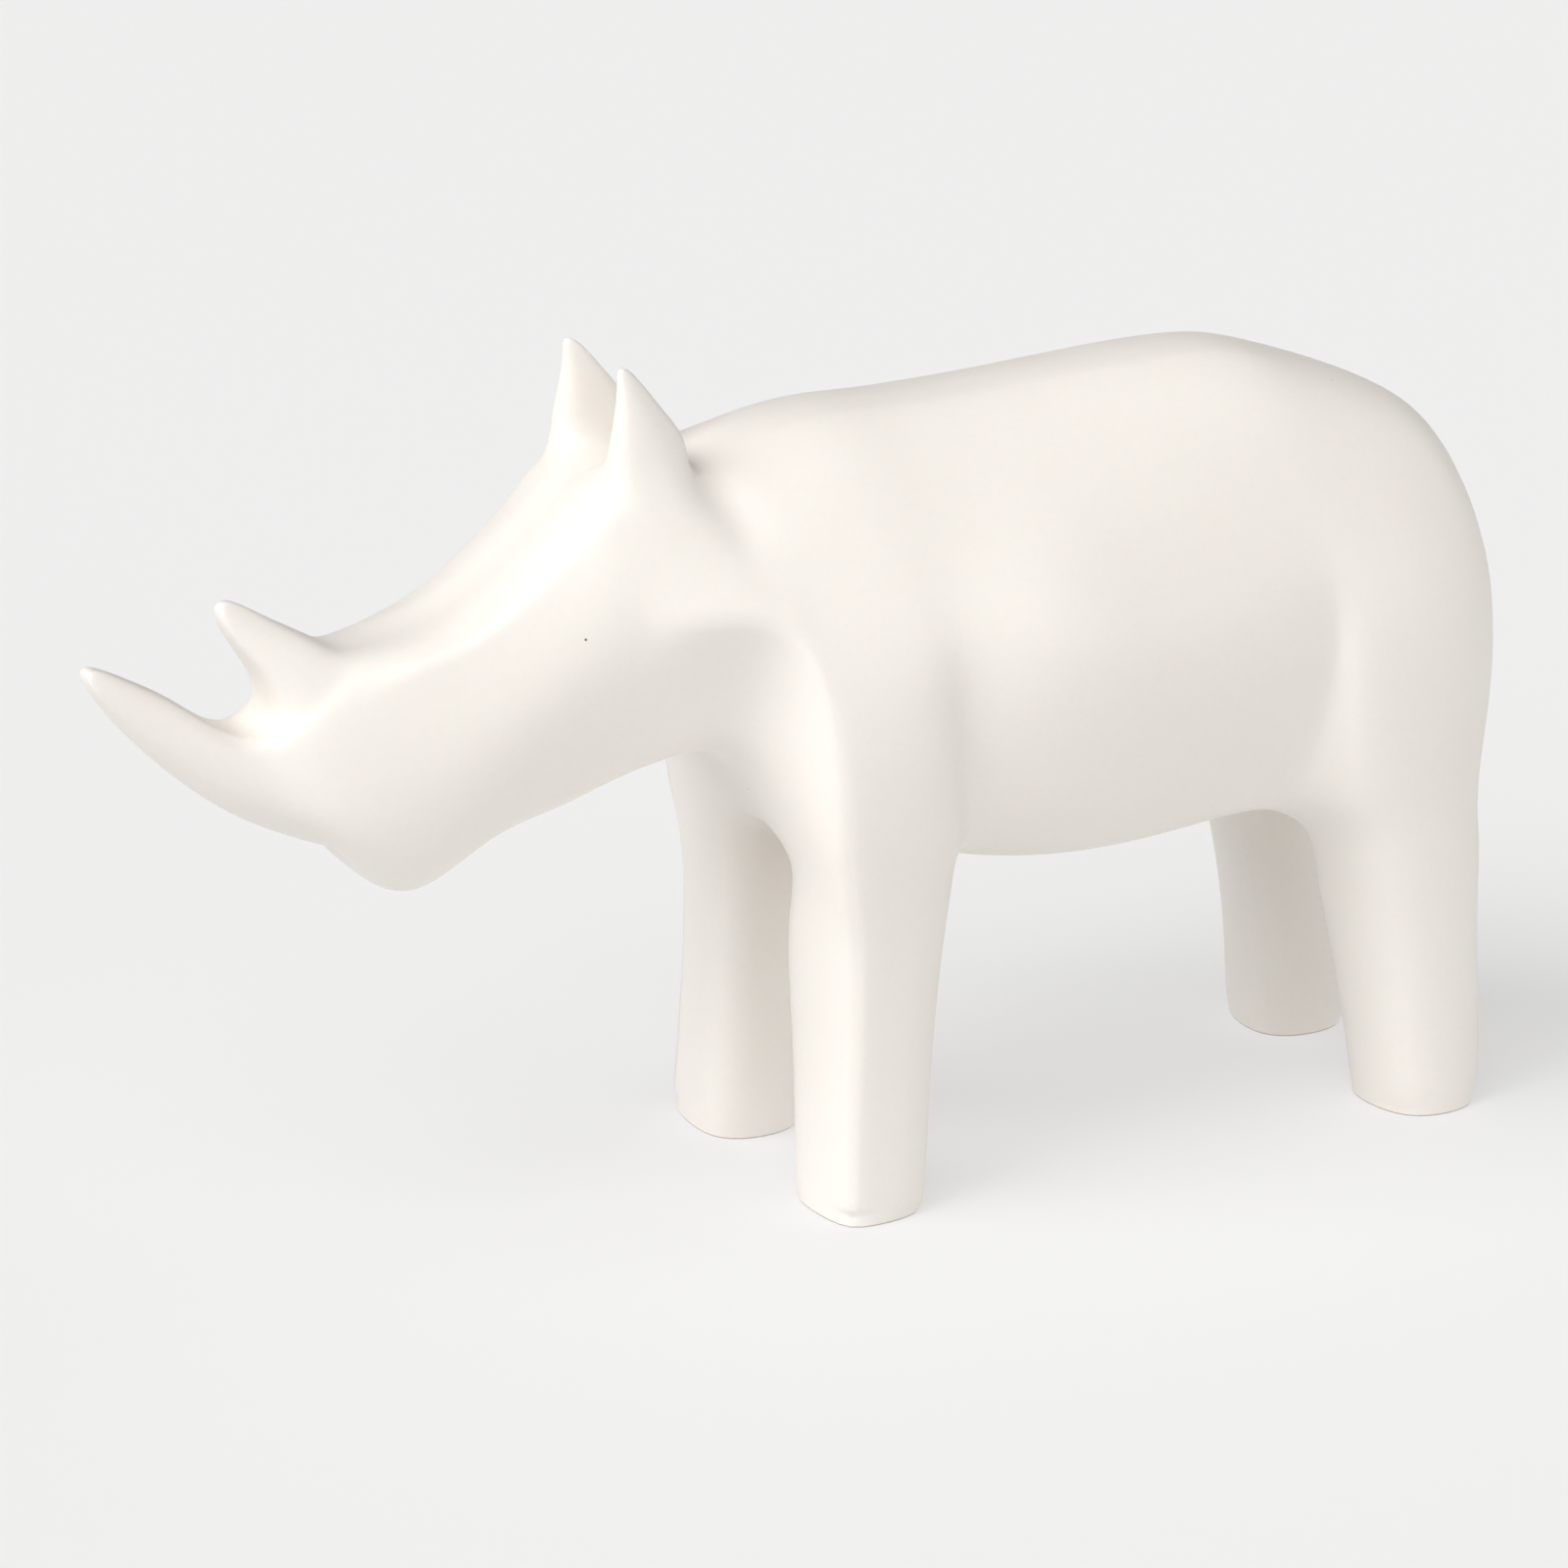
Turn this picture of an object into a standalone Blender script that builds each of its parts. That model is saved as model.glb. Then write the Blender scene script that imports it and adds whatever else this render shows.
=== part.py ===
"""A rhinoceros figurine: one smooth, hollow-cast ceramic animal that stands on four flat feet.

The frame has +Z up and its origin on the floor under the middle of the figurine. The horns point
along -X and the left flank faces -Y. The form is a coarse cage of half the animal, mirrored at the
plane Y = 0 and rounded by Subdivision Surface. A few shallow hollows and swells are then carved into
the fine surface. Sizes are in millimetres.
"""

import bmesh
import bpy
import numpy as np
from mathutils import Matrix

MM = 0.001

NAME = "rhinoceros"
GLAZE_COLOUR = (0.86, 0.835, 0.80, 1.0)
GLAZE_ROUGHNESS = 0.5
ROUNDING_LEVELS = 2
MIRROR_MERGE = 0.0001
KEPT_TRIANGLES = 0.66

# The cage's rows of points run round half a section, from the middle of the back to the middle of
# the belly. A row's share is how far down its section it lies.
ROWS = ("spine", "crest", "ridge", "upper_side", "lower_side", "hem", "inner_hem", "keel")
TORSO_SHARES = (0.0, 0.01, 0.08, 0.40, 0.70, 0.97, 1.0, 1.0)
NECK_SHARES = (0.03, 0.0, 0.06, 0.45, 0.72, 0.94, 1.0, 1.0)
HEAD_SHARES = (0.02, 0.0, 0.05, 0.40, 0.70, 0.93, 1.0, 1.0)

# Each station: name, top (x, z), bottom (x, z), backward bulge, and the half-widths of the rows
# crest to inner_hem. X starts close to the middle of the figurine's length, and Z on the floor.
TORSO = (
    ("rump", (146.5, 161.8), (158.5, 66), 14, (9, 27, 42, 42, 44, 14)),
    ("thigh", (117.5, 173.8), (117, 67), 4, (9, 25, 43.5, 46, 45, 14)),
    ("flank_fold", (103, 177.2), (106, 73), 13, (9, 25, 42, 40.3, 36, 13)),
    ("loin", (80, 177.1), (82, 68.5), 0, (9, 25, 47.5, 50, 34, 13)),
    ("belly", (50, 175.2), (52, 67.8), 0, (9, 25, 49, 51, 34, 13)),
    ("elbow_fold", (20, 174.6), (27, 73.5), -3, (9, 25, 43, 39, 33, 13)),
    ("shoulder", (6, 175.9), (26.5, 76), -2, (9, 25, 44.5, 47.5, 45, 11)),
    ("shoulder_front", (-13, 172.9), (-8, 76), 0, (9, 23.5, 40, 46, 44, 11)),
)
NECK = (
    ("neck", (-22.5, 169.3), (-16, 100), 0, (8, 21.5, 36.2, 27.5, 24, 13)),
    ("ear_back", (-28.5, 169.5), (-26, 105), 0, (5, 22.5, 34.5, 23, 20, 12)),
    ("ear_front", (-50, 170.5), (-43, 101.2), 0, (5, 20, 28.5, 23.5, 19.5, 11)),
)
HEAD = (
    ("poll", (-56, 162.3), (-52, 98.6), 0, (6, 18, 27.5, 23.5, 19.5, 11)),
    ("brow", (-66.5, 153), (-62, 94.9), 0, (8, 17, 26.5, 22.5, 19, 10.5)),
    ("cheek", (-84, 139.2), (-77, 92.3), 0, (8, 17.5, 24.5, 22.5, 18, 9)),
    ("bridge", (-107, 136.7), (-93, 77), 0, (12.5, 14.8, 20.5, 21, 13.5, 7)),
    ("nostril", (-123, 122), (-106, 87), 0, (12, 14.2, 18.3, 18, 11, 6)),
    ("horn_root", (-133.5, 121.2), (-109.5, 92.8), 0, (5, 9, 13, 14, 9, 5)),
    ("horn_low", (-145, 131.2), (-131, 101.3), 0, (2.8, 6.3, 10, 10, 7, 4)),
    ("horn_mid", (-155.7, 137), (-149.3, 116.8), 0, (1.6, 4, 6.5, 6.5, 4.5, 2.5)),
    ("horn_high", (-166.3, 142.8), (-163.8, 133.8), 0, (1, 2, 3.2, 3.2, 2.6, 1.5)),
)
RUMP_MIDDLE = ((164.6, 151), (170.7, 132), (167.2, 98), (161, 74))
# How far back of its station a row's point lies.
LEANS = {("thigh", "hem"): 6.5, ("ear_back", "ridge"): -1.5}

# Each leg ring: height, outer front x, inner front x, back x, inner y, outer y.
FRONT_LEG = (
    (64, -3.6, -13.3, 23.8, 9, 42),
    (36, -4.5, -10.7, 20.5, 11.5, 41.3),
    (9, -6, -10.7, 18.5, 13.3, 42.7),
    (2.5, -6.4, -10.7, 17.6, 13.8, 43.5),
    (0, -6.4, -10.7, 16.6, 14.3, 43.5),
    (0, -3, -3, 12, 20, 37),
)
HIND_LEG = (
    (52, 129.8, 119.3, 158.5, 12, 43),
    (28, 133, 126.3, 159.7, 12.5, 42),
    (9, 134.3, 129.8, 160.2, 13.5, 42.5),
    (2.5, 134.6, 130.6, 159, 14, 43.4),
    (0, 134.6, 130.6, 157.8, 14, 43.5),
    (0, 140, 138, 155, 20, 37),
)
# Each ear ring: front x, front z, back x, back z, inner y, outer y.
EAR = (
    (-49.2, 174.5, -28.7, 174.5, 7.2, 18.8),
    (-47.4, 182, -34, 181, 8.7, 17),
    (-46.3, 188.3, -39.3, 187.8, 10.3, 15.2),
    (-46.6, 193.6, -43.9, 193.2, 11.8, 14.2),
)
# How much shorter an ear is along its outer side than along its inner side, as a share.
EAR_TURN = 0.45
# Each ring of the second horn: front x, front z, back x, back z, half-widths in front and behind.
BRIDGE_HORN = (
    (-125, 133, -111.5, 139, 10, 9.8),
    (-133.5, 143.5, -123.2, 145.7, 4.8, 3),
    (-135.1, 150.8, -130.8, 150.8, 2, 1.2),
)

# How far an edge resists rounding, from 0 to 1.
CREST_CREASE = 0.4
HEAD_RIDGE_CREASE = 0.55
EAR_CREASE = 0.18
NECK_CREASE = 0.6
SHOULDER_CREASE = 0.5
ELBOW_CREASE = 0.22
THIGH_CREASE = 0.32
FLANK_CREASE = 0.55
MOUTH_CREASE = 0.6
FORELEG_FRONT_CREASE = 0.55
HIND_LEG_FRONT_CREASE = 0.3
LEG_CORNER_CREASE = 0.18
# How much of the creases of a leg's corners is left at the foot, as a share.
FOOT_CORNER_SHARE = 0.72
SOLE_CREASE = 0.7

# Local hollows and swells, once for each side: middle (x, y, z), reach and depth. A negative depth
# is a swell.
HOLLOWS = (
    ((-25.5, 21, 166.5), 5.2, 2.1),
    ((-22.5, 25, 158.5), 5.5, 1.1),
    ((40, 46, 129), 24, -4.2),
    ((21, 42, 116), 10, 0.9),
    ((22, 42, 98), 10, 0.9),
    ((96, 42, 90), 3, 0.8),
)


def section(station, shares):
    """The half ring of points of one station, from the spine to the keel."""
    name, top, bottom, bulge, widths = station
    points = []
    for label, share, width in zip(ROWS, shares, (0, *widths, 0)):
        x = top[0] + share * (bottom[0] - top[0]) + bulge * 4 * share * (1 - share)
        z = top[1] + share * (bottom[1] - top[1])
        points.append((x + LEANS.get((name, label), 0), width, z))
    return points


def new_ring(mesh, points):
    return [mesh.verts.new([value * MM for value in point]) for point in points]


def skin(mesh, ring, following, closed=False):
    """Joins two rings of as many points with a band of faces."""
    count = len(ring) if closed else len(ring) - 1
    for i in range(count):
        j = (i + 1) % len(ring)
        mesh.faces.new((ring[i], ring[j], following[j], following[i]))


def crease(mesh, points, amount):
    """Keeps the edges along a line of cage points from being rounded fully."""
    layer = mesh.edges.layers.float["crease_edge"]
    for start, end in zip(points, points[1:]):
        edge = mesh.edges.get((start, end))
        edge[layer] = amount


def row(name):
    return ROWS.index(name)


def footprint(rings, back, front, upper, lower):
    """The four cage points round the face between two stations and two rows."""
    high, low = row(upper), row(lower)
    return [rings[front][high], rings[back][high], rings[back][low], rings[front][low]]


def open_face(mesh, corners):
    face = mesh.faces.get(corners)
    mesh.faces.remove(face)
    return corners


def add_body(mesh):
    rings = {}
    for stations, shares in ((TORSO, TORSO_SHARES), (NECK, NECK_SHARES), (HEAD, HEAD_SHARES)):
        for station in stations:
            rings[station[0]] = new_ring(mesh, section(station, shares))
    ordered = list(rings.values())
    for ring, following in zip(ordered, ordered[1:]):
        skin(mesh, ring, following)
    return rings


def close_rump(mesh, ring):
    """Closes the back of the animal with faces between the last ring and a line down the middle."""
    middle = new_ring(mesh, [(x, 0, z) for x, z in RUMP_MIDDLE])
    near = (ring[0], *middle, ring[7])
    mesh.faces.new((near[0], near[1], ring[2], ring[1]))
    for i in range(1, 4):
        mesh.faces.new((near[i], near[i + 1], ring[i + 2], ring[i + 1]))
    mesh.faces.new((near[4], near[5], ring[6], ring[5]))


def close_horn_tip(mesh, ring):
    for i in range(3):
        mesh.faces.new((ring[i], ring[i + 1], ring[6 - i], ring[7 - i]))


def add_leg(mesh, corners, rings, front_crease):
    ring = open_face(mesh, corners)
    lines = [[corner] for corner in corners]
    for z, outer_front, inner_front, back, inner, outer in rings:
        points = ((outer_front, outer, z), (back, outer, z), (back, inner, z), (inner_front, inner, z))
        following = new_ring(mesh, points)
        skin(mesh, ring, following, closed=True)
        ring = following
        for line, point in zip(lines, following):
            line.append(point)
    mesh.faces.new(ring)
    for line, amount in zip(lines, (front_crease, *3 * (LEG_CORNER_CREASE,))):
        crease(mesh, line[:-1], amount)
        crease(mesh, line[-3:-1], amount * FOOT_CORNER_SHARE)
    sole = [line[-2] for line in lines]
    crease(mesh, (*sole, sole[0]), SOLE_CREASE)


def add_ear(mesh, corners):
    ring = open_face(mesh, corners)
    front_edge = [ring[3]]
    for front, front_z, back, back_z, inner, outer in EAR:
        turn = EAR_TURN * (back - front) / 2
        inner_face = (front, inner, front_z), (back + turn, inner, back_z)
        outer_face = (back - turn, outer, back_z), (front, outer, front_z)
        following = new_ring(mesh, (*inner_face, *outer_face))
        skin(mesh, ring, following, closed=True)
        ring = following
        front_edge.append(ring[3])
    mesh.faces.new(ring)
    crease(mesh, front_edge, EAR_CREASE)


def add_bridge_horn(mesh, corners):
    """The horn straddles the middle plane, so its rings stay open there."""
    corner_front, corner_back, side_back, side_front = open_face(mesh, corners)
    mesh.edges.remove(mesh.edges.get((corner_front, corner_back)))
    chain = [corner_front, side_front, side_back, corner_back]
    for front, front_z, back, back_z, wide, narrow in BRIDGE_HORN:
        points = ((front, 0, front_z), (front, wide, front_z), (back, narrow, back_z), (back, 0, back_z))
        following = new_ring(mesh, points)
        skin(mesh, chain, following)
        chain = following
    mesh.faces.new(chain)


def along(rings, names, label):
    """The points of one row at these stations."""
    return [rings[name][row(label)] for name in names]


def crease_body(mesh, rings):
    torso = [station[0] for station in TORSO]
    crease(mesh, along(rings, torso[1:], "crest"), CREST_CREASE)
    forehead = ("ear_front", "poll", "brow", "cheek", "bridge")
    crease(mesh, along(rings, forehead, "ridge"), HEAD_RIDGE_CREASE)
    neck = ("ear_front", "ear_back", "neck", "shoulder_front")
    crease(mesh, along(rings, neck, "upper_side"), NECK_CREASE)
    side = slice(row("upper_side"), row("hem") + 1)
    crease(mesh, rings["shoulder_front"][side], SHOULDER_CREASE)
    crease(mesh, rings["elbow_fold"][side], ELBOW_CREASE)
    crease(mesh, rings["flank_fold"][side], FLANK_CREASE)
    crease(mesh, rings["thigh"][side], THIGH_CREASE)
    crease(mesh, rings["horn_root"][row("hem"):], MOUTH_CREASE)


def build_cage():
    mesh = bmesh.new()
    mesh.edges.layers.float.new("crease_edge")
    rings = add_body(mesh)
    close_rump(mesh, rings["rump"])
    close_horn_tip(mesh, rings["horn_high"])
    rump, shoulder = ("rump", "thigh"), ("shoulder", "shoulder_front")
    add_leg(mesh, footprint(rings, *rump, "hem", "inner_hem"), HIND_LEG, HIND_LEG_FRONT_CREASE)
    add_leg(mesh, footprint(rings, *shoulder, "hem", "inner_hem"), FRONT_LEG, FORELEG_FRONT_CREASE)
    add_ear(mesh, footprint(rings, "ear_back", "ear_front", "crest", "ridge"))
    add_bridge_horn(mesh, footprint(rings, "bridge", "nostril", "spine", "crest"))
    crease_body(mesh, rings)
    bmesh.ops.recalc_face_normals(mesh, faces=mesh.faces)
    return mesh


def carve(data):
    """Presses the hollows in, and raises the swells, along the surface's own normals."""
    count = len(data.vertices)
    places, normals = np.empty(count * 3), np.empty(count * 3)
    data.vertices.foreach_get("co", places)
    data.vertex_normals.foreach_get("vector", normals)
    places, normals = places.reshape(-1, 3), normals.reshape(-1, 3)
    near = np.stack((places[:, 0], np.abs(places[:, 1]), places[:, 2]), axis=1) / MM
    depth = np.zeros(len(near))
    for middle, reach, deepest in HOLLOWS:
        distance = np.linalg.norm(near - middle, axis=1)
        depth += deepest * np.exp(-((distance / reach) ** 2))
    data.vertices.foreach_set("co", (places - normals * depth[:, None] * MM).ravel())
    data.update()


def rounded_form():
    """The whole form, from the cage of one half."""
    cage = build_cage()
    data = bpy.data.meshes.new("half_cage")
    cage.to_mesh(data)
    cage.free()
    form = bpy.data.objects.new("half_cage", data)
    bpy.context.scene.collection.objects.link(form)
    mirror = form.modifiers.new("Both sides", "MIRROR")
    mirror.use_axis = (False, True, False)
    mirror.merge_threshold = MIRROR_MERGE
    rounding = form.modifiers.new("Rounding", "SUBSURF")
    rounding.levels = ROUNDING_LEVELS
    rounding.render_levels = ROUNDING_LEVELS
    bpy.context.view_layer.update()
    fine = bpy.data.meshes.new_from_object(form.evaluated_get(bpy.context.evaluated_depsgraph_get()))
    bpy.data.objects.remove(form)
    carve(fine)
    return fine


def make_glaze():
    glaze = bpy.data.materials.new("satin_white_glaze")
    glaze.use_nodes = True
    shader = glaze.node_tree.nodes["Principled BSDF"]
    shader.inputs["Base Color"].default_value = GLAZE_COLOUR
    shader.inputs["Roughness"].default_value = GLAZE_ROUGHNESS
    shader.inputs["Metallic"].default_value = 0.0
    return glaze


def centre_on_frame(data):
    """Moves the mesh along X until the frame's origin lies under its middle."""
    ends = [point.co.x for point in data.vertices]
    data.transform(Matrix.Translation((-(min(ends) + max(ends)) / 2, 0, 0)))


def make_figurine():
    data = rounded_form()
    data.name = NAME
    centre_on_frame(data)
    data.materials.append(make_glaze())
    data.shade_smooth()
    figurine = bpy.data.objects.new(NAME, data)
    collection = bpy.data.collections.new("rhinoceros_figurine")
    bpy.context.scene.collection.children.link(collection)
    collection.objects.link(figurine)
    thinning = figurine.modifiers.new("Fewer triangles", "DECIMATE")
    thinning.ratio = KEPT_TRIANGLES


for old in list(bpy.data.objects):
    bpy.data.objects.remove(old)
make_figurine()
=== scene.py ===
import math

import bmesh
import bpy
import numpy as np
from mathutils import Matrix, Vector


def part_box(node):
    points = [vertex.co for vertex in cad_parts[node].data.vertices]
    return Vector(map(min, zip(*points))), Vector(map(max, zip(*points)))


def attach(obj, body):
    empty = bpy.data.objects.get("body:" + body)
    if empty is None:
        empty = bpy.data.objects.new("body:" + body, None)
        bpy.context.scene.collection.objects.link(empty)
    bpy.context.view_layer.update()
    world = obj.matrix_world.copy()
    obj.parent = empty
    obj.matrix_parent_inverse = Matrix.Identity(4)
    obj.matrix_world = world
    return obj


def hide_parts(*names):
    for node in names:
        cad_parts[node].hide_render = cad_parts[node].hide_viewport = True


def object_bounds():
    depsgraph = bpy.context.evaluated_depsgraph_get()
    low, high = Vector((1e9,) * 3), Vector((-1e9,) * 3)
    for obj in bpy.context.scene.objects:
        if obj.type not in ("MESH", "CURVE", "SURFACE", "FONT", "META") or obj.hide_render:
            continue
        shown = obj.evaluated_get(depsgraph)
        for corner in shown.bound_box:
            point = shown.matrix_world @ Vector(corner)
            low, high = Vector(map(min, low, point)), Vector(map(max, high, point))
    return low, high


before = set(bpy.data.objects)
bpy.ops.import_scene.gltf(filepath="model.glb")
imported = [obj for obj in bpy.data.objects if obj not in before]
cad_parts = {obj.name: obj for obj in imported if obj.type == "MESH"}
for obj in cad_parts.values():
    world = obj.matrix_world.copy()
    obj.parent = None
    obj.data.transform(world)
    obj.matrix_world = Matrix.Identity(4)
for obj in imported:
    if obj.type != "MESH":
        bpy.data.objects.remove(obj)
cad_box = [list(corner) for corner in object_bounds()]

MM = 0.001
NODE = "rhinoceros"

# The camera looks at TARGET from AZIMUTH and ELEVATION degrees, as the photograph does.
AZIMUTH = -27.4
ELEVATION = 19.2
TARGET = (0.0021, 0.0065, 0.086)
DISTANCE = 2.0425
LENS = 213.75
SENSOR = 36

# Each sun: name, azimuth, elevation and strength.
SUNS = (
    ("key", -45, 50, 1.26),
    ("head_on_high", -90, 50, 1.55),
    ("head_on_low", -90, 25, 0.80),
    ("low_fill", 30, 4, 0.95),
    ("rear_fill", 90, 10, 0.50),
)
SUN_SOFTNESS = 45
SKY_COLOUR = (1.0, 0.96, 0.90, 1)
SKY_STRENGTH = 0.14

# The floor glows a little, so that the figurine's shadows stay faint.
FLOOR_RADIUS = 20.0
FLOOR_COLOUR = (0.35, 0.35, 0.35, 1)
FLOOR_GLOW_COLOUR = (1, 1, 1, 1)
FLOOR_GLOW = 0.51

# The glaze: how its tone clouds and mottles, and how its gloss varies. A scale counts features in a
# metre.
CLOUD_SCALE = 16
CLOUD_DEEP = (0.85, 0.807, 0.752, 1)
CLOUD_PALE = (0.87, 0.833, 0.785, 1)
MOTTLE_SCALE = 700
MOTTLE_LOWEST = 0.985
GLOSS_SCALE = 55
ROUGHNESS_RANGE = (0.40, 0.50)
SWELL_SCALE = 38
SWELL_HEIGHT = 0.0012
PEEL_SCALE = 300
PEEL_HEIGHT = 0.00008

# Pinholes lie in a few of the cells that fill the glaze, and their radius is a share of a cell.
PINHOLE_CELLS = 70
PINHOLE_RADIUS = 0.018
CELLS_WITHOUT = 0.9
PINHOLE_COLOUR = (0.55, 0.49, 0.42, 1)
# The dark speck in the glaze of the left cheek.
CHEEK_SPECK = (-0.0610, -0.026, 0.1379)
SPECK_RADIUS = 0.0003
SPECK_COLOUR = (0.20, 0.16, 0.12, 1)
# How much each axis counts in the distance from a spot's middle.
SPOT_AXES = (1.0, 0.05, 1.0)

# The bare ceramic of the soles, which are the faces below SOLE_TOP. Their dark tone is also painted
# shade, standing in for the contact shadow under each foot.
SOLE_TOP = 0.0002
BISQUE_SCALE = 900
SHADED_SOLE_DEEP = (0.42, 0.37, 0.31, 1)
SHADED_SOLE_PALE = (0.56, 0.51, 0.44, 1)
BISQUE_GRAIN = 0.0002

ROUNDING_LEVELS = 3
MIRROR_MERGE = 0.0001

# The cage's rows of points run round half a section, from the middle of the back to the middle of
# the belly. A row's share is how far down its section it lies.
ROWS = ("spine", "crest", "ridge", "upper_side", "lower_side", "hem", "inner_hem", "keel")
TORSO_SHARES = (0.0, 0.01, 0.08, 0.40, 0.70, 0.97, 1.0, 1.0)
NECK_SHARES = (0.03, 0.0, 0.06, 0.45, 0.72, 0.94, 1.0, 1.0)
HEAD_SHARES = (0.02, 0.0, 0.05, 0.40, 0.70, 0.93, 1.0, 1.0)

# Each station: name, top (x, z), bottom (x, z), backward bulge, and the half-widths of the rows
# crest to inner_hem. X starts close to the middle of the figurine's length, and Z on the floor.
TORSO = (
    ("rump", (146.5, 161.8), (158.5, 66), 14, (9, 27, 42, 42, 44, 14)),
    ("thigh", (117.5, 173.8), (117, 67), 4, (9, 25, 43.5, 46, 45, 14)),
    ("flank_fold", (103, 177.2), (106, 73), 13, (9, 25, 42, 40.3, 36, 13)),
    ("loin", (80, 177.1), (82, 68.5), 0, (9, 25, 47.5, 50, 34, 13)),
    ("belly", (50, 175.2), (52, 67.8), 0, (9, 25, 49, 51, 34, 13)),
    ("elbow_fold", (20, 174.6), (27, 73.5), -3, (9, 25, 43, 39, 33, 13)),
    ("shoulder", (6, 175.9), (26.5, 76), -2, (9, 25, 44.5, 47.5, 45, 11)),
    ("shoulder_front", (-13, 172.9), (-8, 76), 0, (9, 23.5, 40, 46, 44, 11)),
)
NECK = (
    ("neck", (-22.5, 169.3), (-16, 100), 0, (8, 21.5, 36.2, 27.5, 24, 13)),
    ("ear_back", (-28.5, 169.5), (-26, 105), 0, (5, 22.5, 34.5, 23, 20, 12)),
    ("ear_front", (-50, 170.5), (-43, 101.2), 0, (5, 20, 28.5, 23.5, 19.5, 11)),
)
HEAD = (
    ("poll", (-56, 162.3), (-52, 98.6), 0, (6, 18, 27.5, 23.5, 19.5, 11)),
    ("brow", (-66.5, 153), (-62, 94.9), 0, (8, 17, 26.5, 22.5, 19, 10.5)),
    ("cheek", (-84, 139.2), (-77, 92.3), 0, (8, 17.5, 24.5, 22.5, 18, 9)),
    ("bridge", (-107, 136.7), (-93, 77), 0, (12.5, 14.8, 20.5, 21, 13.5, 7)),
    ("nostril", (-123, 122), (-106, 87), 0, (12, 14.2, 18.3, 18, 11, 6)),
    ("horn_root", (-133.5, 121.2), (-109.5, 92.8), 0, (5, 9, 13, 14, 9, 5)),
    ("horn_low", (-145, 131.2), (-131, 101.3), 0, (2.8, 6.3, 10, 10, 7, 4)),
    ("horn_mid", (-155.7, 137), (-149.3, 116.8), 0, (1.6, 4, 6.5, 6.5, 4.5, 2.5)),
    ("horn_high", (-166.3, 142.8), (-163.8, 133.8), 0, (1, 2, 3.2, 3.2, 2.6, 1.5)),
)
RUMP_MIDDLE = ((164.6, 151), (170.7, 132), (167.2, 98), (161, 74))
# How far back of its station a row's point lies.
LEANS = {("thigh", "hem"): 6.5, ("ear_back", "ridge"): -1.5}

# Each leg ring: height, outer front x, inner front x, back x, inner y, outer y.
FRONT_LEG = (
    (64, -3.6, -13.3, 23.8, 9, 42),
    (36, -4.5, -10.7, 20.5, 11.5, 41.3),
    (9, -6, -10.7, 18.5, 13.3, 42.7),
    (2.5, -6.4, -10.7, 17.6, 13.8, 43.5),
    (0, -6.4, -10.7, 16.6, 14.3, 43.5),
    (0, -3, -3, 12, 20, 37),
)
HIND_LEG = (
    (52, 129.8, 119.3, 158.5, 12, 43),
    (28, 133, 126.3, 159.7, 12.5, 42),
    (9, 134.3, 129.8, 160.2, 13.5, 42.5),
    (2.5, 134.6, 130.6, 159, 14, 43.4),
    (0, 134.6, 130.6, 157.8, 14, 43.5),
    (0, 140, 138, 155, 20, 37),
)
# Each ear ring: front x, front z, back x, back z, inner y, outer y.
EAR = (
    (-49.2, 174.5, -28.7, 174.5, 7.2, 18.8),
    (-47.4, 182, -34, 181, 8.7, 17),
    (-46.3, 188.3, -39.3, 187.8, 10.3, 15.2),
    (-46.6, 193.6, -43.9, 193.2, 11.8, 14.2),
)
# How much shorter an ear is along its outer side than along its inner side, as a share.
EAR_TURN = 0.45
# Each ring of the second horn: front x, front z, back x, back z, half-widths in front and behind.
BRIDGE_HORN = (
    (-125, 133, -111.5, 139, 10, 9.8),
    (-133.5, 143.5, -123.2, 145.7, 4.8, 3),
    (-135.1, 150.8, -130.8, 150.8, 2, 1.2),
)

# How far an edge resists rounding, from 0 to 1.
CREST_CREASE = 0.4
HEAD_RIDGE_CREASE = 0.55
EAR_CREASE = 0.18
NECK_CREASE = 0.6
SHOULDER_CREASE = 0.5
ELBOW_CREASE = 0.22
THIGH_CREASE = 0.32
FLANK_CREASE = 0.55
MOUTH_CREASE = 0.6
FORELEG_FRONT_CREASE = 0.55
HIND_LEG_FRONT_CREASE = 0.3
LEG_CORNER_CREASE = 0.18
# How much of the creases of a leg's corners is left at the foot, as a share.
FOOT_CORNER_SHARE = 0.72
SOLE_CREASE = 0.7

# Local hollows and swells, once for each side: middle (x, y, z), reach and depth. A negative depth
# is a swell.
HOLLOWS = (
    ((-25.5, 21, 166.5), 5.2, 2.1),
    ((-22.5, 25, 158.5), 5.5, 1.1),
    ((40, 46, 129), 24, -4.2),
    ((21, 42, 116), 10, 0.9),
    ((22, 42, 98), 10, 0.9),
    ((96, 42, 90), 3, 0.8),
)


def section(station, shares):
    """The half ring of points of one station, from the spine to the keel."""
    name, top, bottom, bulge, widths = station
    points = []
    for label, share, width in zip(ROWS, shares, (0, *widths, 0)):
        x = top[0] + share * (bottom[0] - top[0]) + bulge * 4 * share * (1 - share)
        z = top[1] + share * (bottom[1] - top[1])
        points.append((x + LEANS.get((name, label), 0), width, z))
    return points


def new_ring(mesh, points):
    return [mesh.verts.new([value * MM for value in point]) for point in points]


def skin(mesh, ring, following, closed=False):
    """Joins two rings of as many points with a band of faces."""
    count = len(ring) if closed else len(ring) - 1
    for i in range(count):
        j = (i + 1) % len(ring)
        mesh.faces.new((ring[i], ring[j], following[j], following[i]))


def crease(mesh, points, amount):
    """Keeps the edges along a line of cage points from being rounded fully."""
    layer = mesh.edges.layers.float["crease_edge"]
    for start, end in zip(points, points[1:]):
        edge = mesh.edges.get((start, end))
        edge[layer] = amount


def row(name):
    return ROWS.index(name)


def footprint(rings, back, front, upper, lower):
    """The four cage points round the face between two stations and two rows."""
    high, low = row(upper), row(lower)
    return [rings[front][high], rings[back][high], rings[back][low], rings[front][low]]


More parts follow.
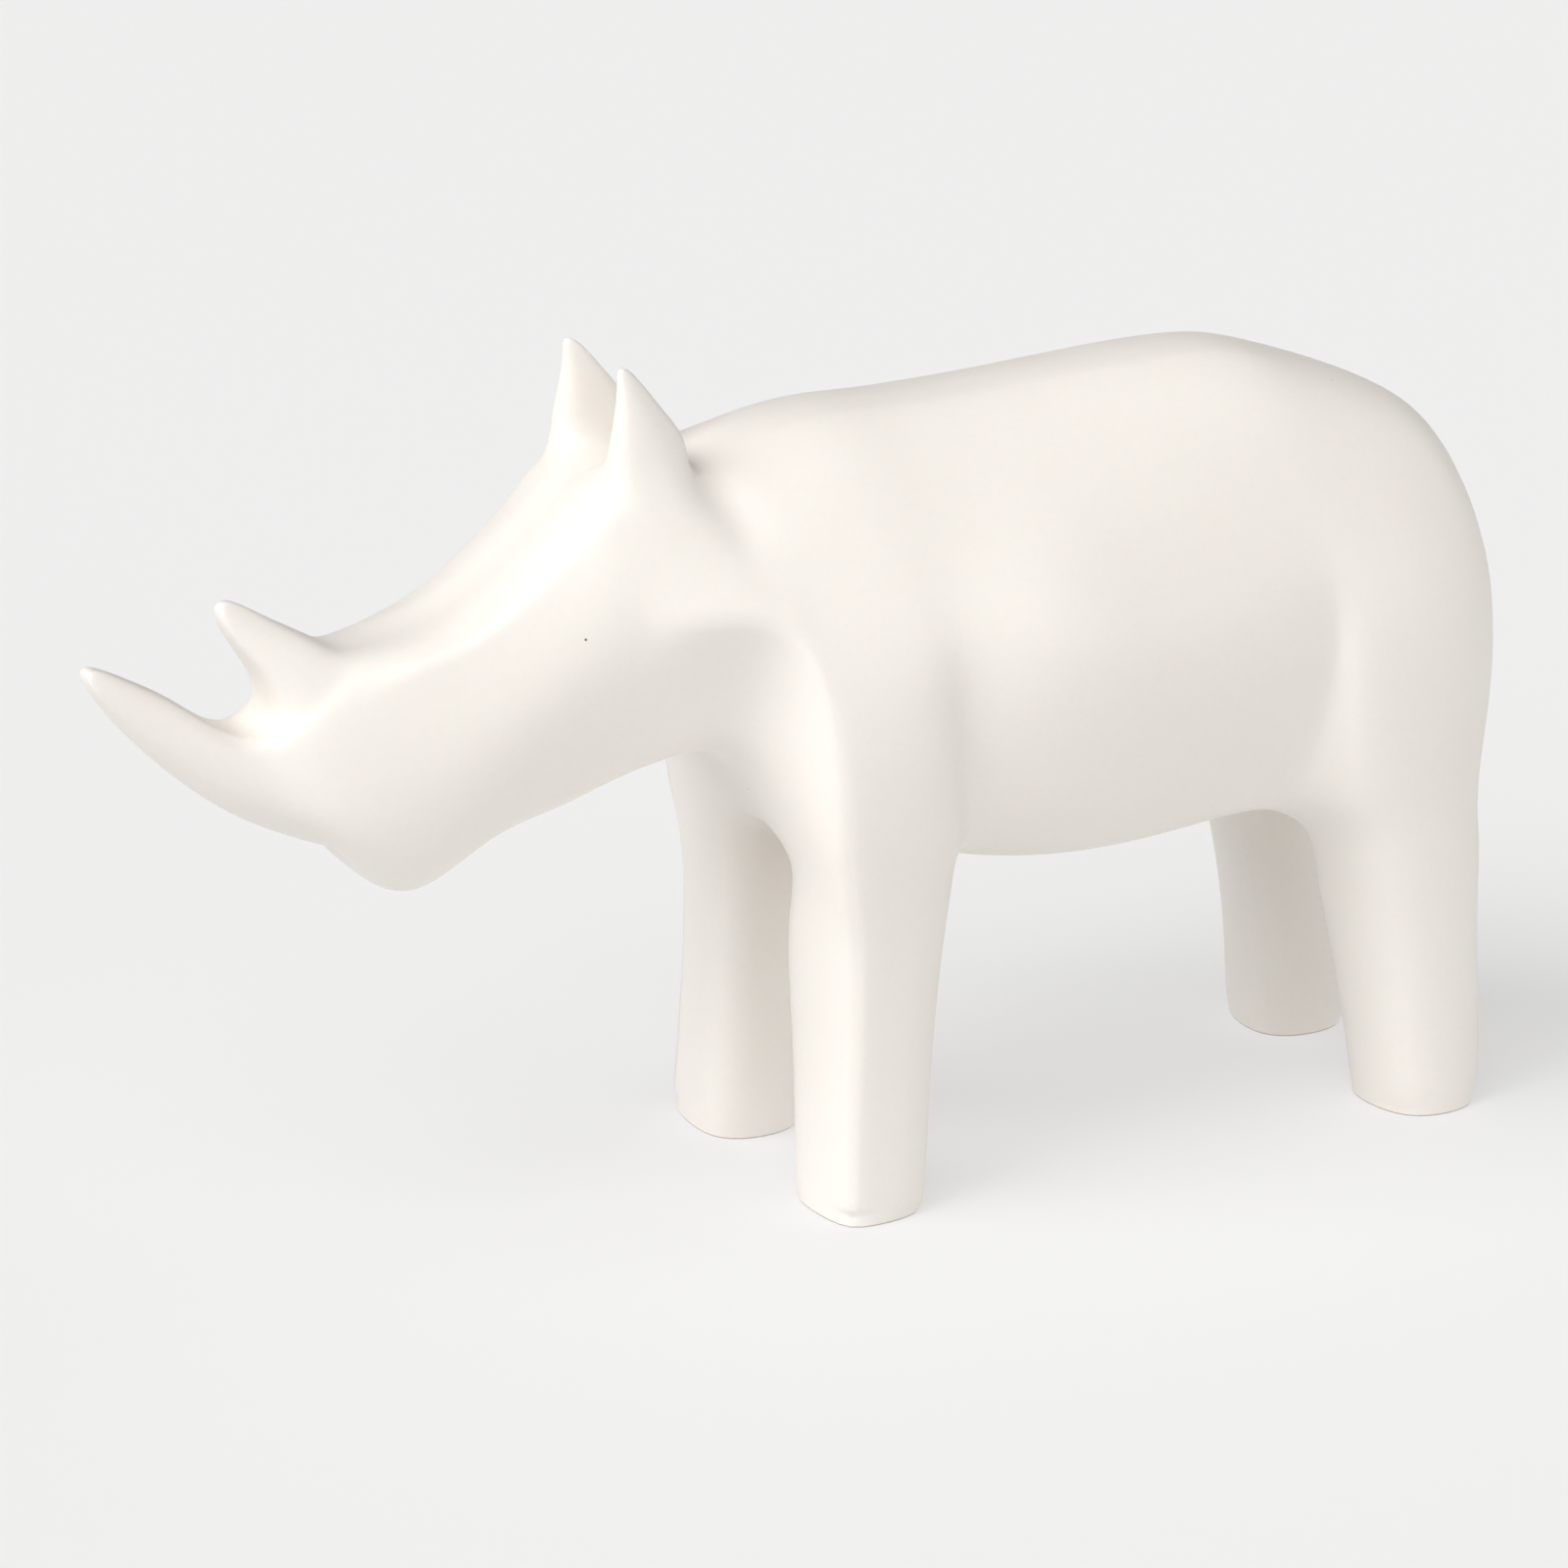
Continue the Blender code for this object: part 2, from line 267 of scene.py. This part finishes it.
def open_face(mesh, corners):
    face = mesh.faces.get(corners)
    mesh.faces.remove(face)
    return corners


def add_body(mesh):
    rings = {}
    for stations, shares in ((TORSO, TORSO_SHARES), (NECK, NECK_SHARES), (HEAD, HEAD_SHARES)):
        for station in stations:
            rings[station[0]] = new_ring(mesh, section(station, shares))
    ordered = list(rings.values())
    for ring, following in zip(ordered, ordered[1:]):
        skin(mesh, ring, following)
    return rings


def close_rump(mesh, ring):
    """Closes the back of the animal with faces between the last ring and a line down the middle."""
    middle = new_ring(mesh, [(x, 0, z) for x, z in RUMP_MIDDLE])
    near = (ring[0], *middle, ring[7])
    mesh.faces.new((near[0], near[1], ring[2], ring[1]))
    for i in range(1, 4):
        mesh.faces.new((near[i], near[i + 1], ring[i + 2], ring[i + 1]))
    mesh.faces.new((near[4], near[5], ring[6], ring[5]))


def close_horn_tip(mesh, ring):
    for i in range(3):
        mesh.faces.new((ring[i], ring[i + 1], ring[6 - i], ring[7 - i]))


def add_leg(mesh, corners, rings, front_crease):
    ring = open_face(mesh, corners)
    lines = [[corner] for corner in corners]
    for z, outer_front, inner_front, back, inner, outer in rings:
        points = ((outer_front, outer, z), (back, outer, z), (back, inner, z), (inner_front, inner, z))
        following = new_ring(mesh, points)
        skin(mesh, ring, following, closed=True)
        ring = following
        for line, point in zip(lines, following):
            line.append(point)
    mesh.faces.new(ring)
    for line, amount in zip(lines, (front_crease, *3 * (LEG_CORNER_CREASE,))):
        crease(mesh, line[:-1], amount)
        crease(mesh, line[-3:-1], amount * FOOT_CORNER_SHARE)
    sole = [line[-2] for line in lines]
    crease(mesh, (*sole, sole[0]), SOLE_CREASE)


def add_ear(mesh, corners):
    ring = open_face(mesh, corners)
    front_edge = [ring[3]]
    for front, front_z, back, back_z, inner, outer in EAR:
        turn = EAR_TURN * (back - front) / 2
        inner_face = (front, inner, front_z), (back + turn, inner, back_z)
        outer_face = (back - turn, outer, back_z), (front, outer, front_z)
        following = new_ring(mesh, (*inner_face, *outer_face))
        skin(mesh, ring, following, closed=True)
        ring = following
        front_edge.append(ring[3])
    mesh.faces.new(ring)
    crease(mesh, front_edge, EAR_CREASE)


def add_bridge_horn(mesh, corners):
    """The horn straddles the middle plane, so its rings stay open there."""
    corner_front, corner_back, side_back, side_front = open_face(mesh, corners)
    mesh.edges.remove(mesh.edges.get((corner_front, corner_back)))
    chain = [corner_front, side_front, side_back, corner_back]
    for front, front_z, back, back_z, wide, narrow in BRIDGE_HORN:
        points = ((front, 0, front_z), (front, wide, front_z), (back, narrow, back_z), (back, 0, back_z))
        following = new_ring(mesh, points)
        skin(mesh, chain, following)
        chain = following
    mesh.faces.new(chain)


def along(rings, names, label):
    """The points of one row at these stations."""
    return [rings[name][row(label)] for name in names]


def crease_body(mesh, rings):
    torso = [station[0] for station in TORSO]
    crease(mesh, along(rings, torso[1:], "crest"), CREST_CREASE)
    forehead = ("ear_front", "poll", "brow", "cheek", "bridge")
    crease(mesh, along(rings, forehead, "ridge"), HEAD_RIDGE_CREASE)
    neck = ("ear_front", "ear_back", "neck", "shoulder_front")
    crease(mesh, along(rings, neck, "upper_side"), NECK_CREASE)
    side = slice(row("upper_side"), row("hem") + 1)
    crease(mesh, rings["shoulder_front"][side], SHOULDER_CREASE)
    crease(mesh, rings["elbow_fold"][side], ELBOW_CREASE)
    crease(mesh, rings["flank_fold"][side], FLANK_CREASE)
    crease(mesh, rings["thigh"][side], THIGH_CREASE)
    crease(mesh, rings["horn_root"][row("hem"):], MOUTH_CREASE)


def build_cage():
    mesh = bmesh.new()
    mesh.edges.layers.float.new("crease_edge")
    rings = add_body(mesh)
    close_rump(mesh, rings["rump"])
    close_horn_tip(mesh, rings["horn_high"])
    rump, shoulder = ("rump", "thigh"), ("shoulder", "shoulder_front")
    add_leg(mesh, footprint(rings, *rump, "hem", "inner_hem"), HIND_LEG, HIND_LEG_FRONT_CREASE)
    add_leg(mesh, footprint(rings, *shoulder, "hem", "inner_hem"), FRONT_LEG, FORELEG_FRONT_CREASE)
    add_ear(mesh, footprint(rings, "ear_back", "ear_front", "crest", "ridge"))
    add_bridge_horn(mesh, footprint(rings, "bridge", "nostril", "spine", "crest"))
    crease_body(mesh, rings)
    bmesh.ops.recalc_face_normals(mesh, faces=mesh.faces)
    return mesh


def carve(data):
    """Presses the hollows in, and raises the swells, along the surface's own normals."""
    count = len(data.vertices)
    places, normals = np.empty(count * 3), np.empty(count * 3)
    data.vertices.foreach_get("co", places)
    data.vertex_normals.foreach_get("vector", normals)
    places, normals = places.reshape(-1, 3), normals.reshape(-1, 3)
    near = np.stack((places[:, 0], np.abs(places[:, 1]), places[:, 2]), axis=1) / MM
    depth = np.zeros(len(near))
    for middle, reach, deepest in HOLLOWS:
        distance = np.linalg.norm(near - middle, axis=1)
        depth += deepest * np.exp(-((distance / reach) ** 2))
    data.vertices.foreach_set("co", (places - normals * depth[:, None] * MM).ravel())
    data.update()


def rounded_form():
    """The whole form, from the cage of one half."""
    cage = build_cage()
    data = bpy.data.meshes.new("half_cage")
    cage.to_mesh(data)
    cage.free()
    form = bpy.data.objects.new("half_cage", data)
    bpy.context.scene.collection.objects.link(form)
    mirror = form.modifiers.new("Both sides", "MIRROR")
    mirror.use_axis = (False, True, False)
    mirror.merge_threshold = MIRROR_MERGE
    rounding = form.modifiers.new("Rounding", "SUBSURF")
    rounding.levels = ROUNDING_LEVELS
    rounding.render_levels = ROUNDING_LEVELS
    bpy.context.view_layer.update()
    fine = bpy.data.meshes.new_from_object(form.evaluated_get(bpy.context.evaluated_depsgraph_get()))
    bpy.data.objects.remove(form)
    carve(fine)
    return fine


class Nodes:
    """Adds shader nodes and links to one material."""

    def __init__(self, name):
        self.material = bpy.data.materials.new(name)
        self.material.use_nodes = True
        self.tree = self.material.node_tree
        self.shader = self.tree.nodes["Principled BSDF"]

    def add(self, kind, **settings):
        node = self.tree.nodes.new(kind)
        for name, value in settings.items():
            setattr(node, name, value)
        return node

    def link(self, source, target):
        self.tree.links.new(source, target)

    def noise(self, place, scale, detail=2.0, roughness=0.5):
        node = self.add("ShaderNodeTexNoise")
        node.inputs["Scale"].default_value = scale
        node.inputs["Detail"].default_value = detail
        node.inputs["Roughness"].default_value = roughness
        self.link(place, node.inputs["Vector"])
        return node.outputs["Fac"]

    def ramp(self, source, *stops):
        """A colour or value ramp with a stop for each (position, value or colour)."""
        node = self.add("ShaderNodeValToRGB")
        elements = node.color_ramp.elements
        while len(elements) < len(stops):
            elements.new(0.5)
        for element, (position, value) in zip(elements, stops):
            element.position = position
            element.color = value if isinstance(value, tuple) else (value, value, value, 1.0)
        self.link(source, node.inputs["Fac"])
        return node.outputs["Color"]

    def mix(self, factor, first, second, blend="MIX"):
        node = self.add("ShaderNodeMix", data_type="RGBA", blend_type=blend)
        for name, value in (("Factor", factor), ("A", first), ("B", second)):
            self.put(node.inputs[name], value)
        return node.outputs[2]

    def math(self, operation, first, second=0.0):
        node = self.add("ShaderNodeMath", operation=operation)
        self.put(node.inputs[0], first)
        self.put(node.inputs[1], second)
        return node.outputs[0]

    def put(self, socket, value):
        if isinstance(value, bpy.types.NodeSocket):
            self.link(value, socket)
        else:
            socket.default_value = value

    def spot(self, place, middle, radius):
        """1 inside a round spot, seen along Y, on the side that the middle lies on. 0 elsewhere."""
        gap = self.add("ShaderNodeVectorMath", operation="SUBTRACT")
        self.link(place, gap.inputs[0])
        gap.inputs[1].default_value = middle
        flat = self.add("ShaderNodeVectorMath", operation="MULTIPLY")
        self.link(gap.outputs["Vector"], flat.inputs[0])
        flat.inputs[1].default_value = SPOT_AXES
        length = self.add("ShaderNodeVectorMath", operation="LENGTH")
        self.link(flat.outputs["Vector"], length.inputs[0])
        return self.math("LESS_THAN", length.outputs["Value"], radius)

    def bump(self, height, distance, strength=1.0, below=None):
        node = self.add("ShaderNodeBump")
        node.inputs["Strength"].default_value = strength
        node.inputs["Distance"].default_value = distance
        self.link(height, node.inputs["Height"])
        if below:
            self.link(below, node.inputs["Normal"])
        return node.outputs["Normal"]


def add_pinholes(nodes, place, colour):
    """Puts a small dark dot in the middle of a few cells."""
    cells = nodes.add("ShaderNodeTexVoronoi")
    cells.inputs["Scale"].default_value = PINHOLE_CELLS
    nodes.link(place, cells.inputs["Vector"])
    near = nodes.math("LESS_THAN", cells.outputs["Distance"], PINHOLE_RADIUS)
    chosen = nodes.add("ShaderNodeSeparateColor")
    nodes.link(cells.outputs["Color"], chosen.inputs["Color"])
    rare = nodes.math("GREATER_THAN", chosen.outputs["Red"], CELLS_WITHOUT)
    return nodes.mix(nodes.math("MULTIPLY", near, rare), colour, PINHOLE_COLOUR)


def make_glaze():
    """Satin white glaze: slightly uneven in tone and gloss, a little orange peel, a few pinholes."""
    nodes = Nodes("satin_white_glaze")
    place = nodes.add("ShaderNodeTexCoord").outputs["Object"]
    clouds = nodes.ramp(nodes.noise(place, CLOUD_SCALE, 3), (0.3, CLOUD_DEEP), (0.7, CLOUD_PALE))
    mottle = nodes.ramp(nodes.noise(place, MOTTLE_SCALE, 4, 0.6), (0.3, MOTTLE_LOWEST), (0.6, 1.0))
    colour = nodes.mix(1.0, clouds, mottle, "MULTIPLY")
    colour = add_pinholes(nodes, place, colour)
    colour = nodes.mix(nodes.spot(place, CHEEK_SPECK, SPECK_RADIUS), colour, SPECK_COLOUR)
    nodes.link(colour, nodes.shader.inputs["Base Color"])

    smooth, rough = ROUGHNESS_RANGE
    gloss = nodes.ramp(nodes.noise(place, GLOSS_SCALE, 3), (0.3, smooth), (0.7, rough))
    nodes.link(gloss, nodes.shader.inputs["Roughness"])
    swell = nodes.bump(nodes.noise(place, SWELL_SCALE, 1), SWELL_HEIGHT, 0.25)
    peel = nodes.bump(nodes.noise(place, PEEL_SCALE, 2), PEEL_HEIGHT, 0.5, swell)
    nodes.link(peel, nodes.shader.inputs["Normal"])
    nodes.shader.inputs["IOR"].default_value = 1.5
    nodes.shader.inputs["Coat Weight"].default_value = 0.12
    nodes.shader.inputs["Coat Roughness"].default_value = 0.3
    nodes.shader.inputs["Subsurface Weight"].default_value = 0.05
    nodes.shader.inputs["Subsurface Scale"].default_value = 0.002
    return nodes.material


def make_bisque_and_contact_shade():
    """The unglazed sole that each foot stands on: dry, grey and grainy. The dark grey is partly painted
    contact shadow.
    """
    nodes = Nodes("bisque_and_painted_contact_shade")
    place = nodes.add("ShaderNodeTexCoord").outputs["Object"]
    grain = nodes.noise(place, BISQUE_SCALE, 4, 0.7)
    # Dark bisque tones: the bare ceramic's own colour, darkened as painted contact shadow.
    colour = nodes.ramp(grain, (0.35, SHADED_SOLE_DEEP), (0.65, SHADED_SOLE_PALE))
    nodes.link(colour, nodes.shader.inputs["Base Color"])
    nodes.link(nodes.bump(grain, BISQUE_GRAIN, 0.6), nodes.shader.inputs["Normal"])
    nodes.shader.inputs["Roughness"].default_value = 0.85
    return nodes.material


def fit(data, low, high):
    """Stretches the mesh along each axis until it fills the box from low to high."""
    places = np.empty(len(data.vertices) * 3)
    data.vertices.foreach_get("co", places)
    places = places.reshape(-1, 3)
    own_low, own_high = places.min(axis=0), places.max(axis=0)
    places = low + (places - own_low) * (high - low) / (own_high - own_low)
    data.vertices.foreach_set("co", places.ravel())
    data.update()


def make_figurine(node):
    """The whole figurine as one fine mesh, fitted to the box of the CAD solid."""
    fine = rounded_form()
    low, high = (np.array(corner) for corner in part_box(node))
    fit(fine, low, high)
    fine.materials.append(make_glaze())
    fine.materials.append(make_bisque_and_contact_shade())
    for face in fine.polygons:
        face.use_smooth = True
        # The soles take the bisque material, whose dark tone is partly painted contact shadow.
        if face.center.z < SOLE_TOP:
            face.material_index = 1
    figurine = bpy.data.objects.new("rhinoceros_glazed", fine)
    bpy.context.scene.collection.objects.link(figurine)
    return figurine


def make_floor():
    data = bpy.data.meshes.new("floor")
    mesh = bmesh.new()
    bmesh.ops.create_circle(mesh, cap_ends=True, segments=64, radius=FLOOR_RADIUS)
    mesh.to_mesh(data)
    mesh.free()
    floor = bpy.data.objects.new("floor", data)
    floor.location.z = cad_box[0][2]
    bpy.context.scene.collection.objects.link(floor)
    nodes = Nodes("pale_floor")
    nodes.shader.inputs["Base Color"].default_value = FLOOR_COLOUR
    nodes.shader.inputs["Emission Color"].default_value = FLOOR_GLOW_COLOUR
    nodes.shader.inputs["Emission Strength"].default_value = FLOOR_GLOW
    nodes.shader.inputs["Roughness"].default_value = 0.9
    nodes.shader.inputs["Specular IOR Level"].default_value = 0.1
    data.materials.append(nodes.material)


def direction(azimuth, elevation):
    """The direction from the object to a place seen at these angles. Azimuth 0 is -Y, and 90 is +X."""
    turn, rise = math.radians(azimuth), math.radians(elevation)
    return Vector((math.sin(turn) * math.cos(rise), -math.cos(turn) * math.cos(rise), math.sin(rise)))


def make_sun(name, azimuth, elevation, strength):
    light = bpy.data.lights.new(name, "SUN")
    light.energy = strength
    light.angle = math.radians(SUN_SOFTNESS)
    sun = bpy.data.objects.new(name, light)
    sun.rotation_mode = "QUATERNION"
    sun.rotation_quaternion = direction(azimuth, elevation).to_track_quat("Z", "Y")
    bpy.context.scene.collection.objects.link(sun)


def make_world():
    world = bpy.data.worlds.new("studio")
    world.use_nodes = True
    background = world.node_tree.nodes["Background"]
    background.inputs["Color"].default_value = SKY_COLOUR
    background.inputs["Strength"].default_value = SKY_STRENGTH
    bpy.context.scene.world = world


def make_camera():
    data = bpy.data.cameras.new("camera")
    data.sensor_width = SENSOR
    data.lens = LENS
    data.clip_end = 60
    camera = bpy.data.objects.new("camera", data)
    back = direction(AZIMUTH, ELEVATION)
    camera.location = Vector(TARGET) + back * DISTANCE
    camera.rotation_mode = "QUATERNION"
    camera.rotation_quaternion = back.to_track_quat("Z", "Y")
    bpy.context.scene.collection.objects.link(camera)
    bpy.context.scene.camera = camera


figurine = make_figurine(NODE)
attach(figurine, "root")
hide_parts(NODE)

make_floor()
for sun in SUNS:
    make_sun(*sun)
make_world()
make_camera()
bpy.context.scene.view_settings.view_transform = "Standard"
